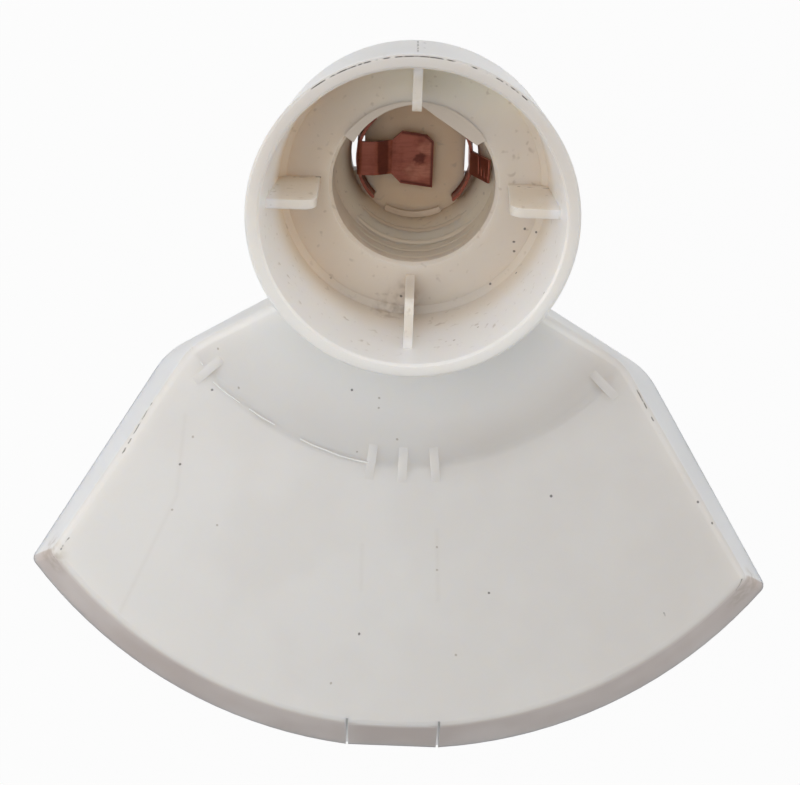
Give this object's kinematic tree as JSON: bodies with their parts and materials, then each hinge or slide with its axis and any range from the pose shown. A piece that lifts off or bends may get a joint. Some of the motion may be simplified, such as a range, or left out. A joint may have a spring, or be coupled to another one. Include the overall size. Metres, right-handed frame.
{
  "type": "refrigerator lamp holder",
  "caption": "White moulded lamp holder for a refrigerator light: a tilted cup with guard fins and a screw lamp socket, joined by a hood to a fan-shaped cover with an open back.",
  "frame": {"origin": "in the plane of the open back rim, under the middle of the part's length and width", "axes": "+Z out of the back towards the lamp side, +Y from the fan-shaped cover towards the cup, +X to the right seen from the lamp side with the cup at the top"},
  "size_m": [0.1284, 0.119, 0.0563],
  "materials": {
    "white_plastic": "satin, a little yellowed",
    "copper_alloy": "dull copper-coloured sheet"
  },
  "bodies": {
    "root": {"housing": "white_plastic", "centre_contact": "copper_alloy", "side_contact": "copper_alloy"}
  },
  "joints": []
}
